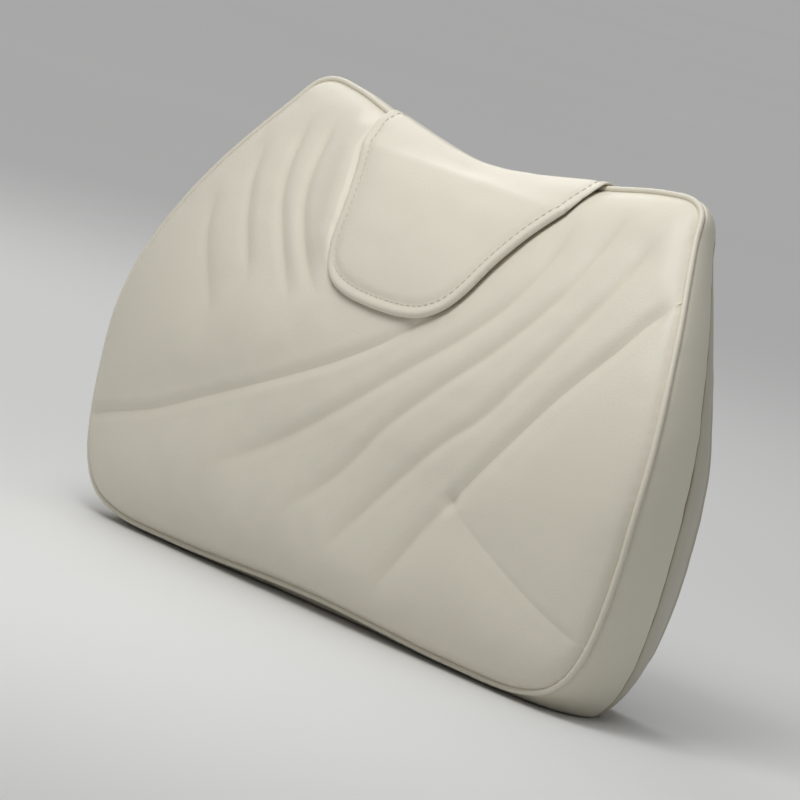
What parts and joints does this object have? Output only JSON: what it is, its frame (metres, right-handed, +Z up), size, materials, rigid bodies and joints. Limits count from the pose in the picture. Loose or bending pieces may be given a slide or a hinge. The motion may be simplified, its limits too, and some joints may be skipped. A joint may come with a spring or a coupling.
{
  "type": "lumbar support cushion",
  "caption": "Waisted lumbar cushion for a car seat: crowned leather front with wrap seams and a hanging tongue, piped edge, two-band sides, mesh back with a zip.",
  "frame": {"origin": "under the middle of the cushion, on the surface it stands on", "axes": "+X to the viewer's right as the front is looked at, +Y from the front to the flat back, +Z up"},
  "size_m": [0.4172, 0.096, 0.2564],
  "materials": {
    "foam": "open-cell memory foam, matt",
    "liner_knit": "thin white knit",
    "wadding": "soft sponge sheet",
    "cream_leather": "smooth cream nappa leather, satin, fine grain",
    "side_leather": "cream leather a shade darker, satin",
    "spacer_mesh": "warm grey open spacer mesh",
    "zip_tape": "woven tape",
    "zip_coil": "nylon coil",
    "zip_metal": "satin nickel",
    "label": "blank satin ribbon"
  },
  "bodies": {
    "cushion": {"foam_core": "foam", "liner_front": "liner_knit", "liner_back": "liner_knit", "front_wadding": "wadding", "back_padding": "wadding", "left_wing_panel": "cream_leather", "wrap_panel": "cream_leather", "right_panel": "cream_leather", "front_welt": "cream_leather", "front_band_top": "cream_leather", "front_band_base": "cream_leather", "rear_band_top": "side_leather", "rear_band_base": "side_leather", "tongue_root": "cream_leather", "back_panel": "spacer_mesh", "back_lower_strip": "spacer_mesh", "zip_tape_upper": "zip_tape", "zip_tape_lower": "zip_tape", "zip_coil_upper": "zip_coil", "zip_coil_lower": "zip_coil", "zip_stop_left": "zip_metal", "zip_stop_right": "zip_metal", "zip_guard": "liner_knit", "care_label": "label"},
    "tongue_flap": {"tongue_outer": "cream_leather", "tongue_pad": "wadding", "tongue_lining": "side_leather"},
    "slider": {"zip_slider": "zip_metal"},
    "pull": {"zip_pull": "zip_metal"}
  },
  "joints": [
    {"name": "tongue_lift", "type": "hinge", "parent": "cushion", "child": "tongue_flap", "pos_m": [0, -0.00749, 0.23095], "axis": [-1, 0, 0], "range_deg": [0, 100]},
    {"name": "zip_slide", "type": "slide", "parent": "cushion", "child": "slider", "axis": [-1, 0, 0], "range_m": [0, 0.276]},
    {"name": "pull_swing", "type": "hinge", "parent": "slider", "child": "pull", "pos_m": [0.138, 0.0466, 0.036], "axis": [0, 0, -1], "range_deg": [0, 150]}
  ]
}
